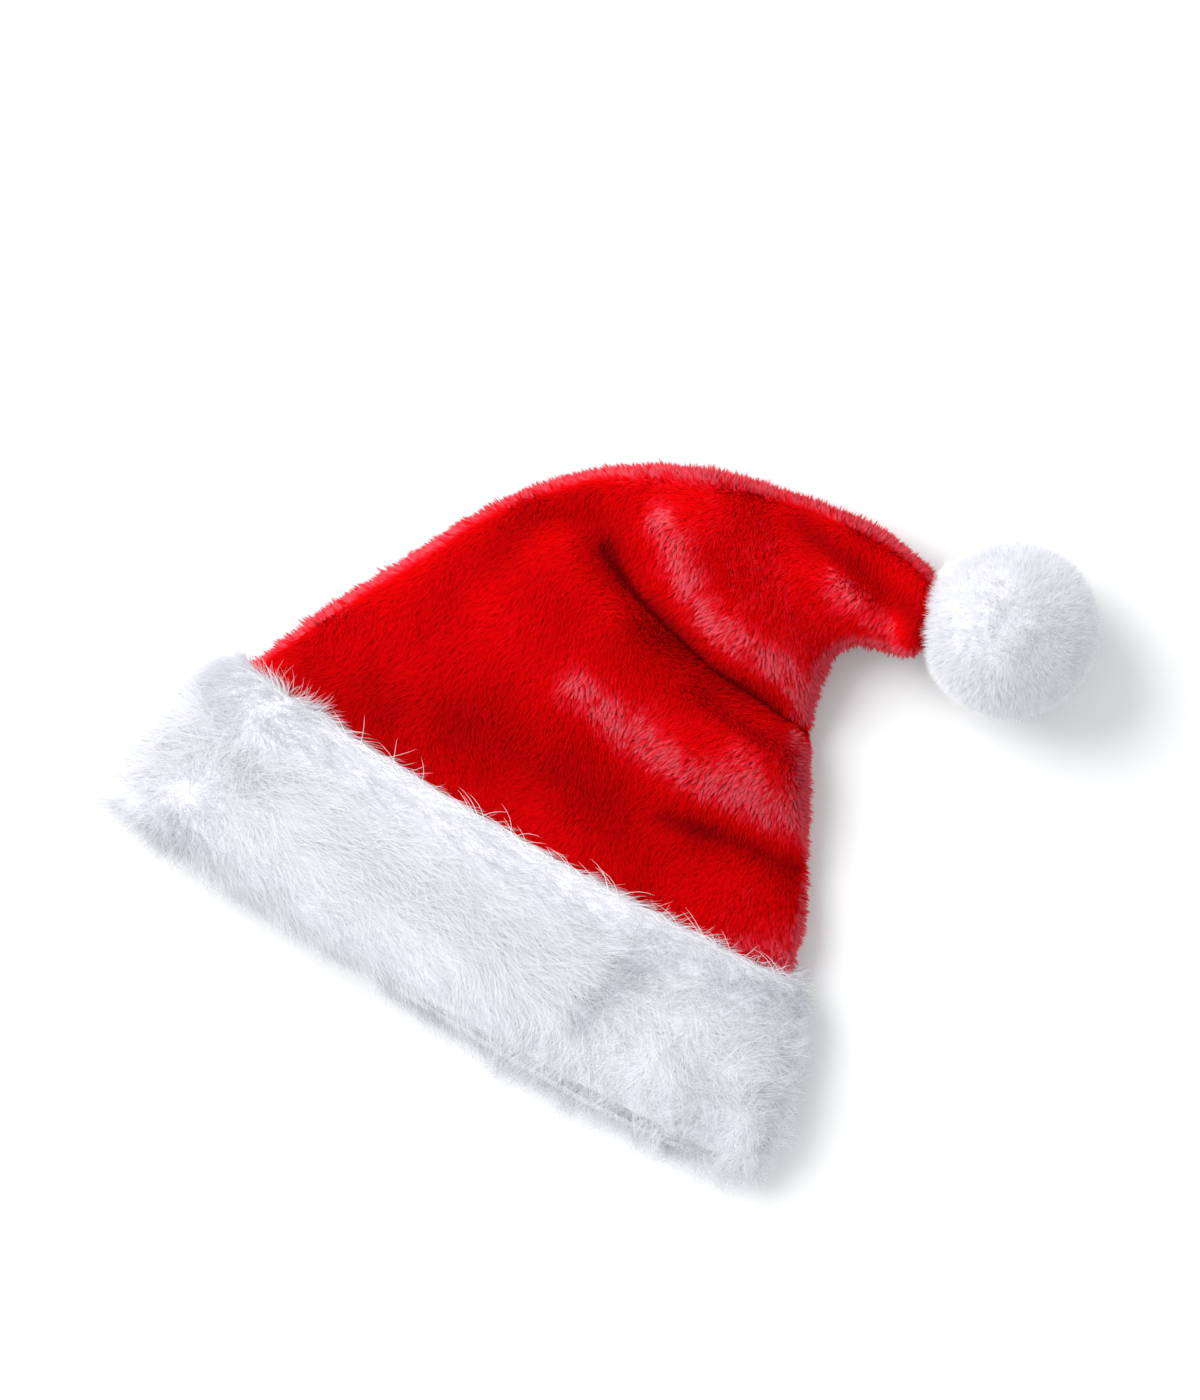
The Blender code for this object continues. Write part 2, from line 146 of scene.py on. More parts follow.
# The way the long fur lies, at spots of the cuff given as shares across and down it. The
# angle is turned from +X towards +Y, the lift is how steeply the fur stands, the length is a
# share of the coat's, and the clump is how far its locks draw together.
Flow = namedtuple("Flow", "across down angle lift length clump")
FLOWS = (
    Flow(0.00, 0.00, 185, 0.15, 0.65, 0.35),
    Flow(0.00, 0.50, 198, 0.20, 1.00, 0.40),
    Flow(0.00, 1.00, 208, 0.10, 0.55, 0.35),
    Flow(0.03, 0.00, 190, 0.00, 0.60, 0.10),
    Flow(0.03, 0.50, 198, 0.10, 0.90, 0.20),
    Flow(0.03, 1.00, 212, 0.05, 0.50, 0.20),
    Flow(0.13, 0.00, 0, -0.15, 0.60, 0.05),
    Flow(0.13, 0.50, 0, 0.00, 0.95, 0.15),
    Flow(0.13, 1.00, 330, 0.00, 0.60, 0.15),
    Flow(0.36, 0.00, 355, -0.20, 0.50, 0.05),
    Flow(0.36, 0.45, 0, 0.05, 1.00, 0.20),
    Flow(0.36, 1.00, 340, 0.00, 0.60, 0.20),
    Flow(0.54, 0.00, 355, -0.20, 0.50, 0.05),
    Flow(0.54, 0.45, 352, 0.05, 1.00, 0.20),
    Flow(0.54, 1.00, 325, 0.00, 0.60, 0.25),
    Flow(0.72, 0.00, 0, -0.20, 0.50, 0.05),
    Flow(0.70, 0.45, 5, 0.05, 0.95, 0.25),
    Flow(0.72, 1.00, 275, 0.05, 0.70, 0.45),
    Flow(0.88, 0.00, 350, -0.15, 0.50, 0.10),
    Flow(0.86, 0.45, 340, 0.20, 0.80, 0.65),
    Flow(0.88, 1.00, 258, 0.10, 0.75, 0.75),
    Flow(1.00, 0.05, 15, 0.10, 0.55, 0.60),
    Flow(1.00, 0.50, 15, 0.20, 0.70, 0.75),
    Flow(1.00, 1.00, 290, 0.15, 0.70, 0.75),
)
FLOW_REACH = 0.11  # how far each of these rules the fur, as a share of the cuff's width

# Painted sheen and painted shade on the red pile, along paths in shares of SEAM_WIDTH and
# CROWN_RISE, with a reach in shares of CROWN_RISE. Paler bands are painted sheen on the flanks
# of the folds and at the seam's corner, and painted light on the right side; darker bands are
# painted shade in the creases and hollows and inside the rim.
Band = namedtuple("Band", "name strength reach points")
PILE_SHEEN_AND_SHADE = (
    Band("upper_lobe_flank", 0.45, 0.040,
         ((-0.037, 0.753), (0.072, 0.648), (0.160, 0.609), (0.249, 0.599), (0.310, 0.547))),
    Band("lower_lobe_flank", 0.48, 0.046,
         ((-0.020, 0.344), (0.080, 0.324), (0.173, 0.307), (0.244, 0.309), (0.320, 0.316),
          (0.376, 0.324))),
    Band("right_side", 0.08, 0.150,
         ((0.120, 0.780), (0.260, 0.640), (0.350, 0.420), (0.420, 0.150))),
    Band("flank_spur", 0.25, 0.030, ((0.259, 0.396), (0.303, 0.357))),
    Band("tail_flank", 0.35, 0.030, ((0.244, 0.834), (0.316, 0.818), (0.355, 0.804))),
    Band("seam_corner", 0.35, 0.045, ((0.404, 0.016), (0.464, 0.046), (0.482, 0.098))),
    Band("main_crease", -0.25, 0.034,
         ((-0.091, 0.650), (-0.033, 0.610), (0.016, 0.590), (0.086, 0.570), (0.148, 0.556),
          (0.207, 0.552), (0.279, 0.532), (0.331, 0.515))),
    Band("crease_line", -0.60, 0.014,
         ((-0.091, 0.645), (-0.033, 0.600), (0.016, 0.576), (0.086, 0.549), (0.148, 0.529),
          (0.207, 0.527), (0.279, 0.512), (0.331, 0.504))),
    Band("inside_rim", -0.14, 0.045,
         ((-0.236, 0.501), (-0.222, 0.613), (-0.172, 0.681), (-0.142, 0.705),
          (-0.091, 0.650))),
    Band("long_hollow", -0.18, 0.085,
         ((-0.380, 0.070), (-0.287, 0.101), (-0.172, 0.139), (-0.050, 0.164), (0.057, 0.165),
          (0.149, 0.170), (0.316, 0.230), (0.429, 0.243))),
    Band("hollow_pleat", -0.20, 0.022, ((0.200, 0.195), (0.316, 0.230), (0.429, 0.243))),
    Band("tail_crease", -0.24, 0.034,
         ((0.155, 0.908), (0.242, 0.887), (0.311, 0.878), (0.371, 0.862), (0.405, 0.826))),
)
# Painted shade on the white fur: darker where the lamp lights it most, at its left end, its
# parting and along the seam, and where shade falls, at the open edge, in a hollow and at its
# right end
FUR_PAINTED_SHADE = (
    Band("left_end", -0.16, 0.150, ((-0.530, 0.020), (-0.560, -0.180), (-0.550, -0.400))),
    Band("parting", -0.24, 0.080, ((-0.455, -0.020), (-0.465, -0.200), (-0.470, -0.390))),
    Band("along_seam", -0.42, 0.060, ((-0.500, -0.035), (0.000, -0.060), (0.500, -0.035))),
    Band("open_edge", -0.30, 0.070, ((-0.450, -0.385), (0.000, -0.410), (0.500, -0.385))),
    Band("grey_hollow", -0.60, 0.040, ((0.226, -0.275), (0.240, -0.210), (0.262, -0.150))),
    Band("hollow_end", -0.25, 0.032, ((0.262, -0.150), (0.289, -0.071))),
    Band("right_end", -0.18, 0.130, ((0.450, -0.060), (0.520, -0.250))),
)
PLAIN_SHADE = 0.48  # where no band reaches
PATCHINESS = 0.35  # how much the painted sheen of the paler bands differs from place to place
PILE_CLOUDS = 0.05  # how much the shade of all the pile does, and that of white fur
FUR_CLOUDS = 0.08
RIM_SHEEN_PAINT = 0.50  # painted sheen added where the cloth turns over at its outline
RIM_SLOPE = 0.90  # a surface whose normal has less z than this is turning over
RIM_RANGE = 0.50  # it is all pale where its normal has this much less z again
RIM_UNDERSIDE = -0.4  # and the rim ends where its normal has less z than this
RIM_INSET = 0.80  # how far out of the middle it may start, as a share of the half width
RIM_TRIM = 0.15  # how much shorter the pile is there, where it stands out
RIM_RAGGED = 0.30  # how much that differs from tuft to tuft

# How each coat of hair grows. Lengths and widths are in metres, and the steps are the straight
# pieces of a hair. The stray is how far single hairs leave the common way, and each lock
# gathers so many hairs. Hair is lit as if it faced the way of the skin turned this far up, as
# the light reaches between its strands from there.
Coat = namedtuple("Coat", "length width steps stray gathers face_up seed")
PILE = Coat(0.0046, 0.00050, 1, 0.22, 7, 0.6, 11)
UNDER_PILE = Coat(0.0040, 0.00070, 1, 0.25, 10, 0.6, 12)
LONG_FUR = Coat(0.0220, 0.00032, 3, 0.30, 14, 2.2, 13)
POMPOM_FUR = Coat(0.0066, 0.00040, 2, 0.50, 8, 3.5, 14)
SEAM_STRAY = Coat(0.0210, 0.00022, 5, 0.30, 1, 1.6, 15)
SEEN_FROM_ABOVE = -0.3  # hair on a surface whose normal has more z lies flat side up
FLAT_SIDE_UP = 1.5
ROUND_LOOK = 0.10  # how far the edges of a ribbon are lit as if it were round
OWN_TURN = 0.05  # how far each ribbon is lit its own way
SHADE_LIMITS = (0.02, 0.98)  # of the middle of a ribbon in its UV map
UV_HALF_WIDTH = 0.004
UV_ENDS = (0.01, 0.99)  # V at a ribbon's root and at its end
PLAIN_CLUMP = 0.25  # how far the locks of the pile draw together
TUFT_CLUMP = 0.75  # the same where painted sheen makes the pile pale
POMPOM_CLUMP = 0.22
PILE_COUNT = 220000
UNDER_PILE_COUNT = 30000
LONG_FUR_COUNT = 80000
POMPOM_FUR_COUNT = 40000
FUR_PIECES = 3  # pieces that the long fur is shared out to, from the left end to the right
PILE_PIECES = 2  # the same for the upper pile
HAIR_SHADE_SPREAD = 0.06  # how much white hairs differ in shade

# The fur on the pompom, and the ball that it grows on
POMPOM_SKIN_RADIUS = 0.0325
POMPOM_LUMPS = 0.025
POMPOM_PAINTED_SHADES = (0.30, 0.95)  # painted shade: darker on its side towards the lamp and paler on the other, to even out the lamp's light
POMPOM_LENGTHS = (0.75, 1.05)  # shares of the coat's length
POMPOM_FALL = 0.45  # how far it hangs down
POMPOM_SWAY = 0.6  # how far its way down turns from place to place
POMPOM_BARE = 0.955  # it has none where the crown's tip goes in, this near the tip's direction

# The pile on the crown, brushed down towards the hem
PILE_LENGTHS = (0.70, 1.15)  # shares of the coat's length
PILE_SWAY = 0.7  # how far its way turns from place to place, in radians
PILE_STAND = 0.75  # how steeply it stands, and how much more at the outline
OUTLINE_STAND = 1.2
UNDERSIDE_SLOPE = -0.35  # a surface whose normal has less z than this is the underside
PILE_TO_SEAM = 0.003  # the pile goes on so far below the seam
PILE_TO_POMPOM = 0.004  # and so far into the pompom's fur
PALE_FROM = 0.4  # pile that painted sheen makes this much paler than the plain pile is fully tufted
PLAIN_TUFT_SHADE = 0.03  # how much tufts differ in shade
PALE_TUFT_SHADE = 0.14
TUFT_HAIR_SHADE = 0.3  # how much hairs of one tuft do, as a share of that

# The long fur on the cuff
TOUSLED = 1.5  # how much less orderly it is at its right end and at its parting
TOUSLED_FROM = 0.62  # shares across the cuff where its right end begins, and is so in full
TOUSLED_IN_FULL = 0.82
CALM_AT_SEAM = 0.70  # how much of its disorder is left at the seam
CALM_REACH = 0.15  # where all of it is back, as a share of the way down the cuff
PARTING = 0.08  # where it turns from lying to the left to lying to the right
PARTING_REACH = 0.05
PARTING_GAIN = 0.5  # how much closer together it grows there
LIES_DOWN = -0.5  # a surface whose normal has less z than this faces down
UNDERSIDE_GROWTH = 0.3  # how much of the fur grows there
WAVES = 0.35
FUR_LENGTHS = (0.55, 1.1)  # shares of the coat's length
ROOT_LIFT = 0.22  # how much steeper than the flow it leaves its root
END_LIFT = 0.20  # and how much flatter it ends
END_STRAY = 1.6  # how much more single hairs stray at their ends
FUR_WEIGHT = 0.10  # how far its ends hang
FUR_SHADE = 0.60
OPEN_EDGE = 0.80  # the share of the way down where the open edge begins
LOWER_FROM = 0.25  # shares across where the lower layer begins to show, and does in full
LOWER_IN_FULL = 0.60
UPPER_EDGE_TRIM = 0.50  # how much shorter the upper layer's fur is, where the lower one shows
EDGE_RAGGED = 0.8  # how much that differs from lock to lock

# Single hairs that stick out over the seam: how many there are at a share across it, and the
# share within which they spread. Most lean to the left, and all curl over towards the seam.
Strays = namedtuple("Strays", "across hairs spread")
SEAM_STRAYS = (
    Strays(0.50, 240, 0.50),
    Strays(0.30, 8, 0.012),
    Strays(0.434, 16, 0.014),
    Strays(0.50, 8, 0.014),
    Strays(0.70, 10, 0.018),
    Strays(0.86, 12, 0.025),
)
STRAY_EDGE = 0.03  # how near the seam they grow, as a share of the way down the cuff
STRAY_SLOPE = 0.2  # and only where the normal has more z than this
STRAY_SCATTER = 0.0008
LEFTWARD_SHARE = 0.85
LEFTWARD_ANGLE = 148  # degrees from +X towards +Y
RIGHTWARD_ANGLE = 32
STRAY_FAN = 18  # degrees
STRAY_CURL = 1.0  # radians, and how much it differs
STRAY_CURL_SPREAD = 0.4
STRAY_LENGTHS = (0.3, 1.0)  # shares of the coat's length
STRAY_RISE = 0.35
STRAY_DROP = 0.15
STRAY_SHADE = 0.9

# The light, the floor and the gap that all hair keeps above it
SKY_COLOUR = (0.96, 0.985, 1.0)
SKY_STRENGTH = 0.76
LAMP_PLACE = (-1.95, 0.30, 1.95)
LAMP_SIZE = 2.2
LAMP_POWER = 76
FLOOR_COLOUR = (0.98, 0.98, 0.98)
FLOOR_REACH = 4.0
FLOOR_DROP = 0.0001
FLOOR_GAP = 0.0003

# The picture's frame
CAMERA_HEIGHT = 4.0
PICTURE_MIDDLE = (0.0048, -0.0014)
PICTURE_LENGTH = 0.574  # what its longer side covers on the floor
PICTURE_TURN = math.radians(30)  # of the picture's right-hand direction, from +X to +Y

# Colours of hair from its darkest shade, 0, to its palest, 1. The darkest reds and whites carry
# the painted shade of the bands, and the palest pinks the painted sheen of the pile.
RED_SHADES = ((0.0, (0.26, 0.000, 0.001)), (0.35, (0.68, 0.000, 0.001)),
              (0.55, (0.88, 0.000, 0.001)), (0.78, (0.98, 0.014, 0.030)),
              (1.0, (0.98, 0.095, 0.130)))
WHITE_SHADES = ((0.0, (0.66, 0.66, 0.71)), (0.5, (0.945, 0.945, 0.985)),
                (1.0, (0.98, 0.98, 0.99)))

PINK = (1.0, 0.18, 0.22)
COLD_WHITE = (0.9, 0.93, 1.0)

# The points of a surface, with the shares across and down the hat that each lies at
Skin = namedtuple("Skin", "points normals faces across down")


def blend(a, b, share):
    return a + (b - a) * share


def smooth_step(share):
    """0 up to a share of 0, 1 from a share of 1, and a smooth rise between them."""
    share = np.clip(share, 0.0, 1.0)
    return share * share * (3 - 2 * share)


def unit(vectors):
    length = np.linalg.norm(vectors, axis=-1, keepdims=True)
    return vectors / np.maximum(length, 1e-12)


def through_rows(rows, at):
    """Rows of numbers at places 0..len - 1 along a table, on a smooth curve through them."""
    rows = np.asarray(rows, dtype=float)
    last = len(rows) - 1
    first = np.clip(np.floor(at).astype(int), 0, last - 1)
    share = (at - first)[:, None]
    before, start = rows[np.maximum(first - 1, 0)], rows[first]
    end, after = rows[first + 1], rows[np.minimum(first + 2, last)]
    return 0.5 * (2 * start + (end - before) * share
                  + (2 * before - 5 * start + 4 * end - after) * share**2
                  + (3 * start - before - 3 * end + after) * share**3)


def ripples(spots, wavelength, seed):
    """Smooth random values, mostly between -1 and 1, that change over such a length. They
    are a sum of plane waves in random directions."""
    chance = np.random.default_rng(seed)
    waves = 8
    total = np.zeros(len(spots))
    for _ in range(waves):
        direction = unit(chance.normal(size=3))
        pitch = wavelength * chance.uniform(0.6, 1.5)
        phase = chance.uniform(0, 6.3)
        total += np.sin(2 * math.pi * (spots @ direction) / pitch + phase)
    return total * 2 / waves


def beside_path(path, spots, steps_for_each=6):
    """Distance in plan from each spot to a path, and how far along the path its nearest
    point lies, 0 to 1. The path runs smoothly through its points, given as shares."""
    places = np.linspace(0, len(path) - 1, steps_for_each * len(path))
    points = through_rows(path, places) * (SEAM_WIDTH, CROWN_RISE) - (0, SEAM_SETBACK)
    steps = np.diff(points, axis=0)
    lengths = np.linalg.norm(steps, axis=1)
    offsets = spots[:, None] - points[:-1]
    shares = np.clip(np.einsum("nsk,sk->ns", offsets, steps) / lengths**2, 0, 1)
    away = np.linalg.norm(offsets - shares[..., None] * steps, axis=2)
    nearest = away.argmin(axis=1)
    each = np.arange(len(spots))
    passed = np.concatenate([[0], np.cumsum(lengths)[:-1]])
    along = (passed[nearest] + shares[each, nearest] * lengths[nearest]) / lengths.sum()
    return away[each, nearest], along


def fold_rise(spots):
    """How far the folds raise the upper layer at each spot in plan, as a share of its height
    above the folded edge."""
    total = np.zeros(len(spots))
    for fold in FOLDS:
        away, along = beside_path(fold.points, spots)
        away /= CROWN_RISE * fold.reach
        total += blend(fold.first_rise, fold.last_rise, along) * np.exp(-away * away)
    clear_of_seam = smooth_step((spots[:, 1] + SEAM_SETBACK) / (CROWN_RISE * FOLDS_FROM_SEAM))
    return np.maximum(FOLD_FLOOR, total) * clear_of_seam


def closer_at_ends(share):
    return (1 - np.cos(math.pi * share)) / 2


def loop_places(over_steps, under_steps, evenness=0.4):
    """Places round a section, from its left end over the top and back along the underside:
    the share across, and whether each is on the upper layer."""
    over = np.arange(over_steps) / over_steps
    under = 1 - np.arange(under_steps) / under_steps
    across = np.concatenate([blend(closer_at_ends(over), over, evenness),
                             closer_at_ends(under)])
    return across, np.arange(over_steps + under_steps) < over_steps


def rounding(across):
    """Height of the rounded profile of a section, 0 at its ends and 1 in the middle."""
    off_middle = np.abs(2 * across - 1)
    return np.maximum(0, 1 - off_middle**SECTION_ROUNDNESS) ** (1 / SECTION_ROUNDNESS)


def section_points(section, across, upper, raised=None):
    """Points round a section given in metres. raised tells how far the folds raise spots."""
    spots = np.stack([blend(section.left_x, section.right_x, across),
                      blend(section.left_y, section.right_y, across)], axis=1)
    top = (section.over - section.edge) * rounding(across)
    if raised:
        top = top * (1 + raised(spots))
    bottom = (section.edge - section.under) * np.minimum(1, UNDER_FULLNESS * rounding(across))
    height = section.edge + np.where(upper, top, -bottom)
    return np.column_stack([spots, height])


def bow_at(across):
    return CUFF_BOW * 4 * across * (1 - across)


def base_section(drop, gap=0.0):
    """The flat tube that the crown's hem and the cuff's backing share, this far below the
    seam, and this much wider and higher all round."""
    down = drop / CUFF_HEIGHT
    seam = CROWN_SECTIONS[0]
    y = -SEAM_SETBACK - drop
    left = blend(SEAM_WIDTH * seam.left_x + PILE_TIPS, -MOUTH_WIDTH / 2, down)
    right = blend(SEAM_WIDTH * seam.right_x - PILE_TIPS, MOUTH_WIDTH / 2, down)
    under = LOFT * seam.under
    over = blend(LOFT * seam.over, under + MOUTH_HEIGHT, down)
    edge = blend(LOFT * seam.edge, (under + over) / 2, down)
    return Section(left - gap, y, right + gap, y, under - gap, edge, over + gap)


def pompom_centre():
    return np.array((SEAM_WIDTH * POMPOM_ALONG, CROWN_RISE * POMPOM_UP - SEAM_SETBACK,
                     POMPOM_HEIGHT))


def tip_direction():
    return np.array((math.cos(TIP_ANGLE), math.sin(TIP_ANGLE), 0))


def core_radius():
    return POMPOM_RADIUS - POMPOM_LOCK


def crown_rows():
    """Every section from the seam to the tip, in metres."""
    rows = []
    for row in CROWN_SECTIONS:
        left = np.array((SEAM_WIDTH * row.left_x, CROWN_RISE * row.left_y - SEAM_SETBACK))
        right = np.array((SEAM_WIDTH * row.right_x, CROWN_RISE * row.right_y - SEAM_SETBACK))
        inward = unit(right - left) * PILE_TIPS
        rows.append(Section(*(left + inward), *(right - inward), LOFT * row.under,
                            LOFT * row.edge, LOFT * row.over))
    centre, ahead = pompom_centre(), tip_direction()
    sideways = np.array((-ahead[1], ahead[0], 0))
    socket_floor = core_radius() - SOCKET_DEPTH
    for distance, size, tip in ((POMPOM_RADIUS, POMPOM_RADIUS, TIP_AT_LOCKS),
                                (core_radius(), SOCKET_RADIUS, TIP_AT_SOCKET),
                                (socket_floor + TIP_CLEARANCE, SOCKET_RADIUS, TIP_AT_END)):
        middle = centre - ahead * distance
        left = middle + sideways * size * tip.half_width
        right = middle - sideways * size * tip.half_width
        rise = size * tip.half_height
        rows.append(Section(left[0], left[1], right[0], right[1], middle[2] - rise, middle[2],
                            middle[2] + rise))
    return rows


def ring_faces(rings, count, closed=False):
    """Quads between neighbouring rings of so many points each."""
    ring = np.arange(rings if closed else rings - 1)[:, None] * count
    after = (ring + count) % (rings * count)
    here = np.arange(count)[None]
    beyond = (here + 1) % count
    corners = (ring + here, ring + beyond, after + beyond, after + here)
    return np.stack(corners, axis=-1).reshape(-1, 4)


def face_normals(points, faces):
    """Normals of triangles or quads, each as long as twice its face's area."""
    corner = [points[number] for number in faces.T]
    if len(corner) == 4:
        return np.cross(corner[2] - corner[0], corner[3] - corner[1])
    return np.cross(corner[1] - corner[0], corner[2] - corner[0])


def point_normals(points, faces):
    """The smooth normal at each point."""
    total = np.zeros_like(points)
    each = face_normals(points, faces)
    for corner in faces.T:
        np.add.at(total, corner, each)
    return unit(total)


def make_mesh(name, points, faces, finishes):
    mesh = bpy.data.meshes.new(name)
    mesh.from_pydata(points.tolist(), [], faces.tolist())
    for finish in finishes:
        mesh.materials.append(finish)
    mesh.shade_smooth()
    made = bpy.data.objects.new(name, mesh)
    bpy.context.scene.collection.objects.link(made)
    return made


def crown_skin(ring_spacing=0.003, over_steps=92, under_steps=36):
    """The crown's outside, lofted through its sections, with the hem inside the cuff."""
    across, upper = loop_places(over_steps, under_steps)
    rows = crown_rows()
    table = np.array(rows)
    middles = (table[:, 0:2] + table[:, 2:4]) / 2
    passed = np.concatenate([[0], np.cumsum(np.linalg.norm(np.diff(middles, axis=0), axis=1))])
    stops = np.linspace(0, passed[-1], round(passed[-1] / ring_spacing))
    stations = np.interp(stops, passed, np.arange(len(rows)))
    rings = [section_points(base_section(HEM_DEPTH), across, upper)]
    for values in through_rows(rows, stations):
        section = Section(*values)
        section = section._replace(under=max(FLOOR_GAP, section.under))
        rings.append(section_points(section, across, upper, fold_rise))
    points = np.concatenate(rings)
    everywhere = np.tile(across, len(rings))
    above = (points[:, 1] + SEAM_SETBACK) / (CROWN_RISE * BOW_FADE)
    points[:, 1] -= bow_at(everywhere) * (1 - smooth_step(above))
    faces = ring_faces(len(rings), len(across))
    down = np.repeat(np.arange(len(rings)) / (len(rings) - 1), len(across))
    return Skin(points, point_normals(points, faces), faces, everywhere, down)


def build_crown_skin(skin, ground, backing):
    """The cloth itself: the outside and, a wall's thickness inside it, the knit backing."""
    crown = make_mesh("crown_cloth", skin.points, skin.faces, (ground, backing))
    wall = crown.modifiers.new("wall", "SOLIDIFY")
    wall.thickness = PLUSH_WALL
    wall.offset = -1.0
    wall.material_offset = 1
    wall.material_offset_rim = 1
    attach(crown, "root")
    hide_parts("crown")
    return crown


def drop_at(across, upper, down):
    """Distance below the seam of a share of the cuff's height. The under layer reaches a
    little further than the upper one, more towards the side of the tip."""
    further = UNDER_REACH * rounding(across) * smooth_step(across)
    return down * (CUFF_HEIGHT + np.where(upper, 0, further))


def cuff_ring(across, upper, down, out):
    """One ring round the cuff, set out from the backing and laid on the table."""
    points = np.array([section_points(base_section(drop, SEAT_CLEARANCE), place, layer)[0]
                       for drop, place, layer in zip(drop_at(across, upper, down),
                                                     across[:, None], upper[:, None])])
    points[:, 1] -= bow_at(across)
    along = unit((np.roll(points, -1, axis=0) - np.roll(points, 1, axis=0)) * (1, 0, 1))
    outward = np.stack([-along[:, 2], np.zeros(len(points)), along[:, 0]], axis=1)
    points += outward * FUR_DEPTH * out
    points[:, 2] = np.maximum(points[:, 2], FLOOR_GAP)
    return points


def cuff_skin(over_steps=92, under_steps=36, profile_steps=30):
    """The cuff as a closed ring: its outside from the open edge to the seam, then the
    backing. Returns it whole, and how many of its faces are outside."""
    across, upper = loop_places(over_steps, under_steps)
    places = np.linspace(len(CUFF_OUTSIDE) - 1, 0, profile_steps)
    outside = through_rows(CUFF_OUTSIDE, places)
    rings = [cuff_ring(across, upper, down, out * CUFF_SKIN_DEPTH) for down, out in outside]
    rings += [cuff_ring(across, upper, down, 0.0) for down in CUFF_BACKING]
    points = np.concatenate(rings)
    faces = ring_faces(len(rings), len(across), closed=True)
    down = np.concatenate([outside[:, 0], CUFF_BACKING])
    skin = Skin(points, point_normals(points, faces), faces, np.tile(across, len(rings)),
                np.repeat(down, len(across)))
    return skin, (profile_steps - 1) * len(across)


def build_cuff_skin(skin, outside_faces, ground, backing):
    cuff = make_mesh("cuff_cloth", skin.points, skin.faces, (ground, backing))
    inside = (np.arange(len(skin.faces)) >= outside_faces).astype(int)
    cuff.data.polygons.foreach_set("material_index", inside)
    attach(cuff, "root")
    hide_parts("cuff")
    return cuff


def pompom_skin():
    """A lumpy ball with the socket that the crown's tip is sewn into."""
    size = POMPOM_SKIN_RADIUS
    mesh = bmesh.new()
    bmesh.ops.create_icosphere(mesh, subdivisions=5, radius=1)
    rays = np.array([v.co[:] for v in mesh.verts])
    faces = np.array([[v.index for v in face.verts] for face in mesh.faces])
    mesh.free()
    lumps = POMPOM_LUMPS * ripples(rays, wavelength=1.6, seed=21)
    points = rays * size * (1 + lumps)[:, None]
    height = -points @ tip_direction()
    beside = np.linalg.norm(points + height[:, None] * tip_direction(), axis=1)
    in_socket = (beside < SOCKET_RADIUS) & (height > 0)
    pushed = np.where(in_socket, height - (core_radius() - SOCKET_DEPTH), 0)
    points += np.maximum(0, pushed)[:, None] * tip_direction()
    points += pompom_centre()
    points[:, 2] = np.maximum(points[:, 2], FLOOR_GAP)
    normals = np.where(in_socket[:, None], -tip_direction(), rays)
    return Skin(points, normals, faces, rays[:, 0], height / size)


def scatter(skin, faces, weight, count, chance):
    """Roots of hair on the skin, closer together where weight is higher. Returns a function
    that gives any of the skin's values at each root."""
    triangles = faces
    if faces.shape[1] == 4:
        triangles = np.concatenate([faces[:, [0, 1, 2]], faces[:, [0, 2, 3]]])
    area = np.linalg.norm(face_normals(skin.points, triangles), axis=1)
    share = area * weight[triangles].mean(axis=1)
    picked = triangles[chance.choice(len(triangles), size=count, p=share / share.sum())]
    first, second = chance.random((2, count))
    folded = first + second > 1
    first, second = np.where(folded, 1 - first, first), np.where(folded, 1 - second, second)
    corners = np.stack([1 - first - second, first, second], axis=1)
    return lambda values: np.einsum("nc,nc...->n...", corners, values[picked])


def hair_paths(roots, start, end, length, steps):
    """Points along each hair, which leaves its root along start and bends towards end."""
    share = np.linspace(0, 1, steps + 1)[None, :, None]
    turned = start[:, None] * (share - share**2 / 2) + end[:, None] * share**2 / 2
    return roots[:, None] + length[:, None, None] * turned


def gather(paths, clump, gathers, chance):
    """Draws neighbouring hairs together towards their ends, into small locks. Returns the new
    paths and the number of the lock that each hair is in."""
    leaders = chance.choice(len(paths), size=len(paths) // gathers, replace=False)
    tree = kdtree.KDTree(len(leaders))
    for number, root in enumerate(paths[leaders, 0]):
        tree.insert(root, number)
    tree.balance()
    nearest = np.array([tree.find(root)[1] for root in paths[:, 0]])
    share = np.linspace(0, 1, paths.shape[1])[None, :, None]
    drawn = share**1.5 * np.reshape(clump, (-1, 1, 1))
    return paths + (paths[leaders[nearest]] - paths) * drawn, nearest


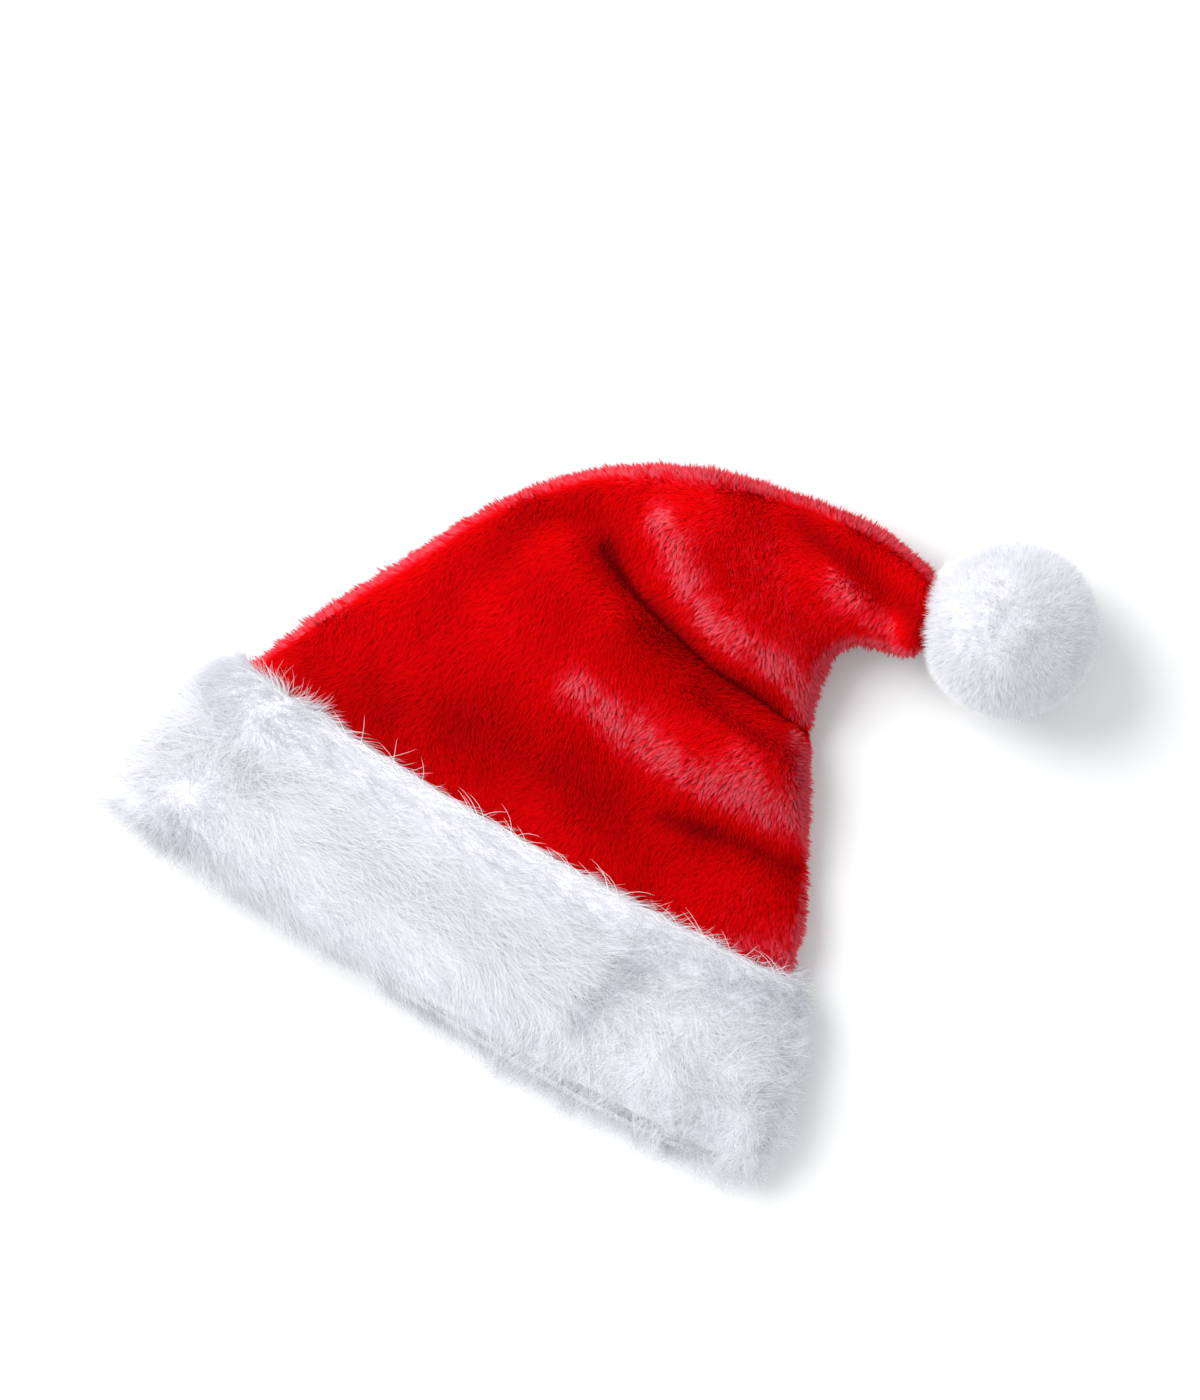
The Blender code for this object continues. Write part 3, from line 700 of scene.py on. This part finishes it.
def grow(name, paths, facing, shade, coat, finish, chance):
    """One piece of narrow, pointed ribbons along the paths. U of their UV map holds each
    ribbon's shade and V runs from its root to its end."""
    paths[..., 2] = np.maximum(paths[..., 2], FLOOR_GAP + coat.width / 2)
    seen_from_above = facing[:, 2:] > SEEN_FROM_ABOVE
    facing = unit(facing + (0, 0, coat.face_up))
    flat_side = facing + seen_from_above * np.array((0, 0, FLAT_SIDE_UP))
    count, stops = paths.shape[:2]
    ahead = np.gradient(paths, axis=1)
    aside = unit(np.cross(ahead, flat_side[:, None]))
    share = np.linspace(0, 1, stops)
    half = aside * (coat.width / 2 * (1 - share**2) ** 0.5)[None, :, None]
    pairs = np.stack([paths - half, paths + half], axis=2)[:, :-1].reshape(count, -1, 3)
    points = np.concatenate([pairs, paths[:, -1:]], axis=1)
    each = points.shape[1]
    corner = np.arange(0, each - 3, 2)
    triangles = [(a, a + 1, a + 3) for a in corner] + [(a, a + 3, a + 2) for a in corner]
    triangles.append((each - 3, each - 2, each - 1))
    faces = (np.array(triangles)[None] + np.arange(count)[:, None, None] * each).reshape(-1, 3)
    hair = make_mesh(name, points.reshape(-1, 3), faces, (finish,))
    across = np.array([-1, 1] * (stops - 1) + [0])
    tilt = ROUND_LOOK * across[None, :, None] * np.repeat(aside, 2, axis=1)[:, :each]
    own = chance.normal(scale=OWN_TURN, size=(count, 1, 3))
    normals = unit(facing[:, None] + tilt + own)
    hair.data.normals_split_custom_set_from_vertices(normals.reshape(-1, 3))
    uv_share = np.repeat(share, 2)[:each]
    u = np.clip(shade, *SHADE_LIMITS)[:, None] + UV_HALF_WIDTH * across
    v = np.broadcast_to(blend(*UV_ENDS, uv_share), u.shape)
    uv = np.stack([u, v], axis=-1).reshape(-1, 2)[faces.ravel()]
    layer = hair.data.uv_layers.new(name="OFBake")
    layer.uv.foreach_set("vector", uv.astype(np.float32).ravel())
    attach(hair, "root")
    return hair


def painted_band_light(bands, roots):
    """How much painted sheen makes hair paler, or painted shade makes it darker, at each root.
    Where the bands make it paler, they are patchy.
    """
    added = np.zeros(len(roots))
    patches = 1 + PATCHINESS * ripples(roots, wavelength=0.014, seed=34)
    for band in bands:
        away, _ = beside_path(band.points, roots[:, :2])
        away /= CROWN_RISE * band.reach
        added += band.strength * np.exp(-away * away)
    return np.where(added > 0, added * patches, added)


def at_outline(normals, across):
    """How far the cloth turns over at the crown's outline, 0 to 1."""
    turning = smooth_step((RIM_SLOPE - normals[:, 2]) / RIM_RANGE)
    turning *= normals[:, 2] > RIM_UNDERSIDE
    return turning * smooth_step((np.abs(2 * across - 1) - RIM_INSET) / (1 - RIM_INSET) * 2)


def pile_sheen_and_shade(roots, outline):
    """How much paler or darker than the plain pile the red pile is at each root: the painted
    sheen and painted shade of the bands, the painted sheen of its rim, and a tone that differs
    at random.
    """
    return (painted_band_light(PILE_SHEEN_AND_SHADE, roots) + RIM_SHEEN_PAINT * outline
            + PILE_CLOUDS * ripples(roots, wavelength=0.030, seed=31))


def comb(way, normals):
    """The way hair is brushed, without the share of it that runs into the skin."""
    inward = np.minimum(0, np.einsum("nk,nk->n", way, normals))
    return way - inward[:, None] * normals


def in_pieces(name, pieces, paths, facing, shade, coat, finish, chance):
    """A coat shared out to a few pieces, from the left end of the hat to the right."""
    parts = np.array_split(np.argsort(paths[:, 0, 0]), pieces)
    return [grow(f"{name}_{number + 1}", paths[part], facing[part], shade[part], coat, finish,
                 chance) for number, part in enumerate(parts)]


def build_pile(name, pieces, skin, weight, count, coat, finish):
    """Short pile on the crown, brushed down towards the hem."""
    chance = np.random.default_rng(coat.seed)
    at_root = scatter(skin, skin.faces, weight, count, chance)
    roots, normals = at_root(skin.points), unit(at_root(skin.normals))
    towards_hem = math.radians(-90)
    turn = towards_hem + PILE_SWAY * ripples(roots, wavelength=0.050, seed=33)
    nap = np.stack([np.cos(turn), np.sin(turn), np.zeros(count)], axis=1)
    nap = comb(nap, normals)
    outline = at_outline(normals, at_root(skin.across))
    # paler holds the painted sheen and painted shade of the bands and rim, and a random tone
    paler = pile_sheen_and_shade(roots, outline)
    stand = (PILE_STAND + OUTLINE_STAND * outline)[:, None]
    lean = unit(stand * normals + nap + chance.normal(scale=coat.stray, size=(count, 3)))
    length = coat.length * chance.uniform(*PILE_LENGTHS, size=count)
    ragged = RIM_RAGGED * ripples(roots, wavelength=0.008, seed=35)
    length *= 1 - (RIM_TRIM + ragged) * outline
    tufted = np.clip(paler / PALE_FROM, 0, 1)
    paths, lock = gather(hair_paths(roots, lean, lean, length, coat.steps),
                         blend(PLAIN_CLUMP, TUFT_CLUMP, tufted), coat.gathers, chance)
    tufts = chance.normal(size=count)[lock] + chance.normal(scale=TUFT_HAIR_SHADE, size=count)
    shade = PLAIN_SHADE + paler + tufts * blend(PLAIN_TUFT_SHADE, PALE_TUFT_SHADE, tufted)
    return in_pieces(name, pieces, paths, normals, shade, coat, finish, chance)


def pile_weights(skin):
    """Where the pile shows: not inside the cuff, and not inside the pompom."""
    above_seam = skin.points[:, 1] + SEAM_SETBACK + bow_at(skin.across) > -PILE_TO_SEAM
    to_pompom = np.linalg.norm(skin.points - pompom_centre(), axis=1)
    shown = above_seam & (to_pompom > POMPOM_RADIUS - PILE_TO_POMPOM)
    under = skin.normals[:, 2] < UNDERSIDE_SLOPE
    return np.where(shown & ~under, 1.0, 0.0), np.where(shown & under, 1.0, 0.0)


def flow_at(across, down):
    """Which way the long fur lies at places on the cuff, and how steeply it stands."""
    table = np.array(FLOWS)
    height_share = CUFF_HEIGHT / MOUTH_WIDTH
    away = np.hypot(across[:, None] - table[:, 0], (down[:, None] - table[:, 1]) * height_share)
    rule = np.exp(-(away / (FLOW_REACH / 2)) ** 2) + 1e-9
    rule /= rule.sum(axis=1, keepdims=True)
    angles = np.radians(table[:, 2])
    way = np.stack([rule @ np.cos(angles), rule @ np.sin(angles), np.zeros(len(across))], axis=1)
    return way, rule @ table[:, 3:]


def near_parting(across):
    """How near the parting of the long fur a place across the cuff is, 1 at it."""
    return np.exp(-((across - PARTING) / PARTING_REACH) ** 2)


def build_long_fur(skin, outside_faces, finish):
    """Long, shaggy fur on the cuff, in a few pieces from its left end to its right."""
    coat, count = LONG_FUR, LONG_FUR_COUNT
    chance = np.random.default_rng(coat.seed)
    weight = np.where(skin.normals[:, 2] < LIES_DOWN, UNDERSIDE_GROWTH, 1.0)
    weight *= 1 + PARTING_GAIN * near_parting(skin.across)
    at_root = scatter(skin, skin.faces[:outside_faces], weight, count, chance)
    roots, normals = at_root(skin.points), unit(at_root(skin.normals))
    across, down = at_root(skin.across), at_root(skin.down)
    way, habit = flow_at(across, down)
    lift, length_share, clump = habit.T
    loose = blend(CALM_AT_SEAM, 1.0, smooth_step(down / CALM_REACH))
    right_end = smooth_step((across - TOUSLED_FROM) / (TOUSLED_IN_FULL - TOUSLED_FROM))
    loose *= 1 + TOUSLED * (right_end + near_parting(across))
    loose = loose[:, None]
    waves = np.stack([ripples(roots, wavelength=0.028, seed=41),
                      ripples(roots, wavelength=0.028, seed=42), np.zeros(count)], axis=1)
    way = unit(comb(way + WAVES * loose * waves, normals))
    stray = loose * chance.normal(scale=coat.stray, size=(count, 3))
    start = unit(way + (lift + ROOT_LIFT)[:, None] * normals + stray)
    end = unit(way + (lift - END_LIFT)[:, None] * normals + stray * END_STRAY
               - (0, 0, FUR_WEIGHT))
    length = coat.length * length_share * chance.uniform(*FUR_LENGTHS, size=count)
    lower_shows = smooth_step((across - LOWER_FROM) / (LOWER_IN_FULL - LOWER_FROM))
    at_open_edge = smooth_step((down - OPEN_EDGE) / (1 - OPEN_EDGE)) * lower_shows
    ragged = 1 + EDGE_RAGGED * ripples(roots, wavelength=0.012, seed=44)
    length *= 1 - UPPER_EDGE_TRIM * ragged * at_open_edge * (normals[:, 2] > 0)
    paths, _ = gather(hair_paths(roots, start, end, length, coat.steps), clump, coat.gathers,
                      chance)
    shade = FUR_SHADE + FUR_CLOUDS * ripples(roots, wavelength=0.020, seed=43)
    shade += chance.normal(scale=HAIR_SHADE_SPREAD, size=count)
    # painted shade along the fur's bands
    shade += painted_band_light(FUR_PAINTED_SHADE, roots)
    return in_pieces("cuff_fur", FUR_PIECES, paths, normals, shade, coat, finish,
                     chance)


def build_seam_strays(skin, finish):
    """Single hairs that stick out of the cuff's edge over the red pile."""
    coat = SEAM_STRAY
    chance = np.random.default_rng(coat.seed)
    across = np.concatenate([chance.uniform(tuft.across - tuft.spread, tuft.across + tuft.spread,
                                            size=tuft.hairs) for tuft in SEAM_STRAYS])
    on_edge = np.where((np.abs(skin.down) < STRAY_EDGE) & (skin.normals[:, 2] > STRAY_SLOPE))[0]
    at = on_edge[np.abs(skin.across[on_edge][None] - across[:, None]).argmin(axis=1)]
    roots = skin.points[at] + chance.normal(scale=STRAY_SCATTER, size=(len(at), 3)) * (1, 1, 0)
    leftwards = chance.random(len(at)) < LEFTWARD_SHARE
    turn = np.radians(np.where(leftwards, LEFTWARD_ANGLE, RIGHTWARD_ANGLE)
                      + chance.normal(scale=STRAY_FAN, size=len(at)))
    start = unit(np.stack([np.cos(turn), np.sin(turn), STRAY_RISE + 0 * turn], axis=1))
    bent = (turn + np.where(leftwards, STRAY_CURL, -STRAY_CURL)
            + chance.normal(scale=STRAY_CURL_SPREAD, size=len(at)))
    end = unit(np.stack([np.cos(bent), np.sin(bent), -STRAY_DROP + 0 * turn], axis=1))
    length = coat.length * chance.uniform(*STRAY_LENGTHS, size=len(at))
    paths = hair_paths(roots, start, end, length, coat.steps)
    facing = np.tile((0.0, 0.0, 1.0), (len(at), 1))
    return grow("seam_strays", paths, facing, np.full(len(at), STRAY_SHADE), coat, finish,
                chance)


def build_pompom(ground, fur):
    """The stuffed ball and the dense fur all over it, which also covers the crown's tip."""
    skin = pompom_skin()
    ball = make_mesh("pompom_ball", skin.points, skin.faces, (ground,))
    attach(ball, "root")
    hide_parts("pompom")
    coat, count = POMPOM_FUR, POMPOM_FUR_COUNT
    chance = np.random.default_rng(coat.seed)
    outside = unit(skin.points - pompom_centre())
    at_tip = -outside @ tip_direction() > POMPOM_BARE
    at_root = scatter(skin, skin.faces, np.where(at_tip, 0.0, 1.0), count, chance)
    roots = at_root(skin.points)
    normals = unit(roots - pompom_centre())
    fall = np.stack([POMPOM_SWAY * ripples(normals, wavelength=0.7, seed=51),
                     POMPOM_SWAY * ripples(normals, wavelength=0.7, seed=52),
                     np.full(count, -1.0)], axis=1)
    fall = unit(fall - np.einsum("nk,nk->n", fall, normals)[:, None] * normals)
    lean = unit(normals + POMPOM_FALL * fall
                + chance.normal(scale=coat.stray, size=(count, 3)))
    length = coat.length * chance.uniform(*POMPOM_LENGTHS, size=count)
    paths, _ = gather(hair_paths(roots, lean, lean, length, coat.steps), POMPOM_CLUMP,
                      coat.gathers, chance)
    # Painted shade: the fur is darker on the side towards the lamp and paler on the side away
    # from it
    away_from_lamp = smooth_step(0.5 - 0.5 * normals @ unit(np.array(LAMP_PLACE)))
    shade = blend(*POMPOM_PAINTED_SHADES, away_from_lamp)
    shade += FUR_CLOUDS * ripples(roots, wavelength=0.008, seed=54)
    shade += chance.normal(scale=HAIR_SHADE_SPREAD, size=count)
    return grow("pompom_fur", paths, normals, shade, coat, fur, chance)


def new_material(name, colour, roughness, sheen, sheen_tint):
    made = bpy.data.materials.new(name)
    made.use_nodes = True
    shader = made.node_tree.nodes["Principled BSDF"]
    shader.inputs["Base Color"].default_value = (*colour, 1)
    shader.inputs["Roughness"].default_value = roughness
    shader.inputs["Specular IOR Level"].default_value = 0.05
    shader.inputs["Sheen Weight"].default_value = sheen
    shader.inputs["Sheen Roughness"].default_value = 0.5
    shader.inputs["Sheen Tint"].default_value = (*sheen_tint, 1)
    return made, shader


def add_ramp(tree, factor, stops):
    """A colour ramp driven by factor, through stops of (place, colour)."""
    ramp = tree.nodes.new("ShaderNodeValToRGB")
    elements = ramp.color_ramp.elements
    while len(elements) < len(stops):
        elements.new(0.5)
    for element, (place, colour) in zip(elements, stops):
        element.position = place
        element.color = (*colour, 1)
    tree.links.new(factor, ramp.inputs["Fac"])
    return ramp.outputs["Color"]


def hair_material(name, shades, root_shade, cover, sheen, sheen_tint):
    """Hair in one of the shades, darker at its root. Each ribbon stands for several finer
    hairs, so it covers only a share of what is behind it."""
    made, shader = new_material(name, shades[-1][1], 1.0, sheen, sheen_tint)
    tree = made.node_tree
    where = tree.nodes.new("ShaderNodeUVMap")
    where.uv_map = "OFBake"
    parts = tree.nodes.new("ShaderNodeSeparateXYZ")
    tree.links.new(where.outputs["UV"], parts.inputs["Vector"])
    shade = add_ramp(tree, parts.outputs["X"], shades)
    along = add_ramp(tree, parts.outputs["Y"], ((0.0, (root_shade,) * 3), (0.8, (1, 1, 1))))
    mix = tree.nodes.new("ShaderNodeMix")
    mix.data_type = "RGBA"
    mix.blend_type = "MULTIPLY"
    mix.inputs["Factor"].default_value = 1.0
    tree.links.new(shade, mix.inputs["A"])
    tree.links.new(along, mix.inputs["B"])
    tree.links.new(mix.outputs["Result"], shader.inputs["Base Color"])
    between = tree.nodes.new("ShaderNodeBsdfTransparent")
    both = tree.nodes.new("ShaderNodeMixShader")
    both.inputs["Fac"].default_value = cover
    tree.links.new(between.outputs["BSDF"], both.inputs[1])
    tree.links.new(shader.outputs["BSDF"], both.inputs[2])
    tree.links.new(both.outputs["Shader"], tree.nodes["Material Output"].inputs["Surface"])
    return made


def ground_material(name, dark, light, grain):
    """The felted foot of the hair: two close shades in grains of such a size."""
    made, shader = new_material(name, light, 1.0, 0.1, light)
    tree = made.node_tree
    place = tree.nodes.new("ShaderNodeTexCoord")
    noise = tree.nodes.new("ShaderNodeTexNoise")
    noise.inputs["Scale"].default_value = 1 / grain
    noise.inputs["Detail"].default_value = 3
    tree.links.new(place.outputs["Object"], noise.inputs["Vector"])
    colour = add_ramp(tree, noise.outputs["Fac"], ((0.3, dark), (0.7, light)))
    tree.links.new(colour, shader.inputs["Base Color"])
    bump = tree.nodes.new("ShaderNodeBump")
    bump.inputs["Distance"].default_value = grain / 4
    tree.links.new(noise.outputs["Fac"], bump.inputs["Height"])
    tree.links.new(bump.outputs["Normal"], shader.inputs["Normal"])
    return made


def knit_material(name, dark, light, wale):
    """A fine warp-knit backing, with wales so far apart."""
    made, shader = new_material(name, light, 0.9, 0.2, light)
    tree = made.node_tree
    place = tree.nodes.new("ShaderNodeTexCoord")
    heights = []
    for direction, pitch in (("X", wale), ("Y", wale * 0.7)):
        wave = tree.nodes.new("ShaderNodeTexWave")
        wave.bands_direction = direction
        wave.inputs["Scale"].default_value = math.pi / 10 / pitch
        wave.inputs["Distortion"].default_value = 1.2
        wave.inputs["Detail"].default_value = 1
        tree.links.new(place.outputs["Object"], wave.inputs["Vector"])
        heights.append(wave.outputs["Fac"])
    both = tree.nodes.new("ShaderNodeMath")
    both.operation = "MULTIPLY"
    for height, socket in zip(heights, both.inputs):
        tree.links.new(height, socket)
    colour = add_ramp(tree, both.outputs["Value"], ((0.1, dark), (0.6, light)))
    tree.links.new(colour, shader.inputs["Base Color"])
    bump = tree.nodes.new("ShaderNodeBump")
    bump.inputs["Distance"].default_value = wale / 5
    tree.links.new(both.outputs["Value"], bump.inputs["Height"])
    tree.links.new(bump.outputs["Normal"], shader.inputs["Normal"])
    return made


def build_hat():
    red_ground = ground_material("red_ground", (0.34, 0, 0.001), (0.50, 0, 0.001), grain=0.0015)
    red_knit = knit_material("red_knit", (0.22, 0.002, 0.006), (0.50, 0.010, 0.020), wale=0.0012)
    red_hair = hair_material("red_pile", RED_SHADES, root_shade=0.80, cover=0.75, sheen=0.15,
                             sheen_tint=PINK)
    white_ground = ground_material("white_ground", (0.84, 0.84, 0.89), (0.90, 0.90, 0.94),
                                   grain=0.003)
    white_knit = knit_material("white_knit", (0.55, 0.55, 0.56), (0.80, 0.80, 0.80), wale=0.0012)
    single_hair = hair_material("single_hairs", WHITE_SHADES, root_shade=1.0, cover=0.70,
                                sheen=0.20, sheen_tint=COLD_WHITE)
    white_hair = hair_material("white_fur", WHITE_SHADES, root_shade=0.97, cover=0.36,
                               sheen=0.28, sheen_tint=COLD_WHITE)

    crown = crown_skin()
    cloth = build_crown_skin(crown, red_ground, red_knit)
    shown, under = pile_weights(crown)
    pile = build_pile("crown_pile", PILE_PIECES, crown, shown, PILE_COUNT, PILE, red_hair)
    pile += build_pile("crown_pile_under", 1, crown, under, UNDER_PILE_COUNT, UNDER_PILE,
                       red_hair)

    cuff, outside_faces = cuff_skin()
    band = build_cuff_skin(cuff, outside_faces, white_ground, white_knit)
    fur = build_long_fur(cuff, outside_faces, white_hair)
    fur.append(build_seam_strays(cuff, single_hair))
    build_pompom(white_ground, white_hair)


def build_floor():
    """A plain floor, just below what lies on it."""
    corners = np.array(((-1, -1, 0), (1, -1, 0), (1, 1, 0), (-1, 1, 0))) * FLOOR_REACH
    paint, _ = new_material("floor", FLOOR_COLOUR, 1.0, 0.0, FLOOR_COLOUR)
    floor = make_mesh("floor", corners, np.array([(0, 1, 2, 3)]), (paint,))
    floor.location.z = -FLOOR_DROP


def build_lights():
    """Soft light from all round and a broad lamp, up and to the left in the picture."""
    world = bpy.data.worlds.new("studio")
    world.use_nodes = True
    sky = world.node_tree.nodes["Background"]
    sky.inputs["Color"].default_value = (*SKY_COLOUR, 1)
    sky.inputs["Strength"].default_value = SKY_STRENGTH
    bpy.context.scene.world = world
    lamp = bpy.data.lights.new("key", "AREA")
    lamp.shape = "DISK"
    lamp.size = LAMP_SIZE
    lamp.energy = LAMP_POWER
    key = bpy.data.objects.new("key", lamp)
    key.location = LAMP_PLACE
    key.rotation_euler = (-key.location).to_track_quat("-Z", "Y").to_euler()
    bpy.context.scene.collection.objects.link(key)


def build_camera():
    """A camera straight above the hat, turned as the picture is."""
    lens = bpy.data.cameras.new("camera")
    lens.sensor_width = 36
    lens.lens = lens.sensor_width * CAMERA_HEIGHT / PICTURE_LENGTH
    camera = bpy.data.objects.new("camera", lens)
    camera.location = (*PICTURE_MIDDLE, CAMERA_HEIGHT)
    camera.rotation_euler = (0, 0, PICTURE_TURN)
    bpy.context.scene.collection.objects.link(camera)
    bpy.context.scene.camera = camera


build_camera()
build_lights()
build_floor()
build_hat()
bpy.context.scene.view_settings.view_transform = "Standard"
